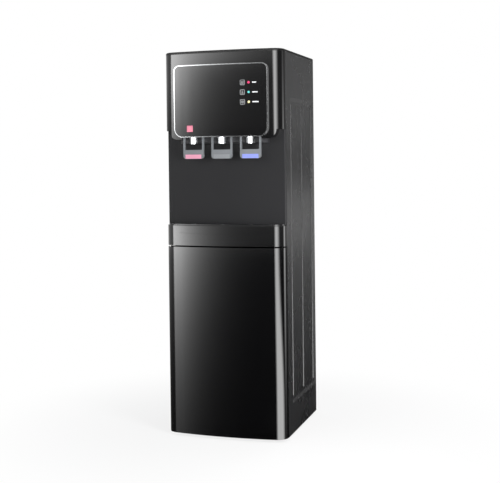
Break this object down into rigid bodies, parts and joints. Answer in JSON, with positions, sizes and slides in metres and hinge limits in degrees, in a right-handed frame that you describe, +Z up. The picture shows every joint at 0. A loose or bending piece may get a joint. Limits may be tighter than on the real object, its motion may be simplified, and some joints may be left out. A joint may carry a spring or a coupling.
{
  "type": "bottle water cooler",
  "caption": "Free-standing bottom load water cooler with a gloss head, push-paddle taps, a lift-out drip tray and a hinged door over the bottle bay.",
  "frame": {"origin": "middle of the footprint on the floor", "axes": "+Z up, front faces -Y, +X to the right seen from the front"},
  "size_m": [0.335, 0.355, 1.04],
  "materials": {
    "cabinet_steel": "satin dark grey",
    "inner_steel": "matte grey",
    "panel_steel": "satin dark",
    "gloss_black": "high gloss",
    "dark_plastic": "matte",
    "light_plastic": "matte",
    "bright_trim": "bright",
    "stainless": "satin",
    "rubber_black": "matte",
    "silicone": "translucent white",
    "foam": "matte",
    "copper_brass": "satin",
    "smoke_clear": "smoke clear",
    "lens_red": "clear",
    "key_red": "gloss",
    "bar_hot": "gloss",
    "bar_warm": "gloss",
    "bar_cold": "gloss"
  },
  "bodies": {
    "cabinet": {"base_pan": "inner_steel", "feet": "rubber_black", "side_panel_right": "cabinet_steel", "side_panel_left": "cabinet_steel", "rear_panel_lower": "inner_steel", "rear_panel_upper": "inner_steel", "front_panel": "panel_steel", "head_cover": "gloss_black", "top_cover": "gloss_black", "drip_housing": "gloss_black", "bottle_floor": "dark_plastic", "mid_deck": "inner_steel", "tank_shelf": "inner_steel", "tap_block": "dark_plastic", "control_panel": "gloss_black", "control_trim": "bright_trim", "indicator_lenses": "lens_red", "cold_tank": "stainless", "cold_tank_foam": "foam", "hot_tank": "stainless", "compressor": "dark_plastic", "compressor_mounts": "rubber_black", "condenser_tube": "dark_plastic", "condenser_wires": "dark_plastic", "condenser_clips": "dark_plastic", "filter_drier": "copper_brass", "water_pump": "dark_plastic", "suction_hose": "silicone", "pump_hose": "silicone", "tap_pipes": "silicone", "suction_probe": "dark_plastic", "probe_bung": "rubber_black", "probe_clips": "dark_plastic", "cord_gland": "dark_plastic", "switch_frames": "dark_plastic", "drain_spigots": "dark_plastic", "door_hinges": "stainless", "magnet_catch": "dark_plastic", "tap_nozzles": "bright_trim", "hot_tap_body": "dark_plastic", "warm_tap_body": "dark_plastic", "cold_tap_body": "dark_plastic"},
    "door": {"door_shell": "gloss_black", "door_inner": "dark_plastic"},
    "drip_tray": {"drip_tray": "gloss_black"},
    "drip_grille": {"drip_grille": "gloss_black"},
    "lock_key": {"lock_key": "key_red"},
    "hot_switch": {"hot_switch": "dark_plastic"},
    "cold_switch": {"cold_switch": "dark_plastic"},
    "hot_drain_cap": {"hot_drain_cap": "dark_plastic"},
    "cold_drain_cap": {"cold_drain_cap": "dark_plastic"},
    "hot_paddle": {"hot_paddle": "smoke_clear", "hot_paddle_bar": "bar_hot"},
    "hot_valve_stem": {"hot_valve_stem": "stainless"},
    "warm_paddle": {"warm_paddle": "smoke_clear", "warm_paddle_bar": "bar_warm"},
    "warm_valve_stem": {"warm_valve_stem": "stainless"},
    "cold_paddle": {"cold_paddle": "smoke_clear", "cold_paddle_bar": "bar_cold"},
    "cold_valve_stem": {"cold_valve_stem": "stainless"}
  },
  "joints": [
    {"name": "door_hinge", "type": "hinge", "parent": "cabinet", "child": "door", "pos_m": [-0.16, -0.1365, 0.26], "axis": [0, 0, -1], "range_deg": [0, 110]},
    {"name": "drip_tray_lift", "type": "slide", "parent": "cabinet", "child": "drip_tray", "axis": [0, 0, 1], "range_m": [0, 0.08]},
    {"name": "drip_grille_lift", "type": "slide", "parent": "drip_tray", "child": "drip_grille", "axis": [0, 0, 1], "range_m": [0, 0.04]},
    {"name": "lock_key_press", "type": "slide", "parent": "cabinet", "child": "lock_key", "axis": [0, 1, 0], "range_m": [0, 0.0012], "stiffness_N_per_m": 300, "springref_m": -0.002},
    {"name": "hot_switch_rock", "type": "hinge", "parent": "cabinet", "child": "hot_switch", "pos_m": [0.076, 0.1367, 0.603], "axis": [1, 0, 0], "range_deg": [0, 14]},
    {"name": "cold_switch_rock", "type": "hinge", "parent": "cabinet", "child": "cold_switch", "pos_m": [0.104, 0.1367, 0.603], "axis": [1, 0, 0], "range_deg": [0, 14]},
    {"name": "hot_drain_cap_turn", "type": "hinge", "parent": "cabinet", "child": "hot_drain_cap", "pos_m": [-0.124, 0.1545, 0.603], "axis": [0, 1, 0], "range_deg": [0, 720]},
    {"name": "cold_drain_cap_turn", "type": "hinge", "parent": "cabinet", "child": "cold_drain_cap", "pos_m": [-0.086, 0.1545, 0.603], "axis": [0, 1, 0], "range_deg": [0, 720]},
    {"name": "hot_paddle_push", "type": "hinge", "parent": "cabinet", "child": "hot_paddle", "pos_m": [-0.08, -0.1635, 0.826], "axis": [1, 0, 0], "range_deg": [0, 12], "stiffness_Nm_per_rad": 0.5, "springref_deg": -5.73},
    {"name": "hot_valve_lift", "type": "slide", "parent": "cabinet", "child": "hot_valve_stem", "axis": [0, 0, 1], "range_m": [0, 0.0018]},
    {"name": "warm_paddle_push", "type": "hinge", "parent": "cabinet", "child": "warm_paddle", "pos_m": [0, -0.1635, 0.826], "axis": [1, 0, 0], "range_deg": [0, 12], "stiffness_Nm_per_rad": 0.5, "springref_deg": -5.73},
    {"name": "warm_valve_lift", "type": "slide", "parent": "cabinet", "child": "warm_valve_stem", "axis": [0, 0, 1], "range_m": [0, 0.0018]},
    {"name": "cold_paddle_push", "type": "hinge", "parent": "cabinet", "child": "cold_paddle", "pos_m": [0.08, -0.1635, 0.826], "axis": [1, 0, 0], "range_deg": [0, 12], "stiffness_Nm_per_rad": 0.5, "springref_deg": -5.73},
    {"name": "cold_valve_lift", "type": "slide", "parent": "cabinet", "child": "cold_valve_stem", "axis": [0, 0, 1], "range_m": [0, 0.0018]}
  ],
  "couplings": [
    {"joint": "hot_valve_lift", "follows": "hot_paddle_push", "m_per_rad": 0.008},
    {"joint": "warm_valve_lift", "follows": "warm_paddle_push", "m_per_rad": 0.008},
    {"joint": "cold_valve_lift", "follows": "cold_paddle_push", "m_per_rad": 0.008}
  ]
}
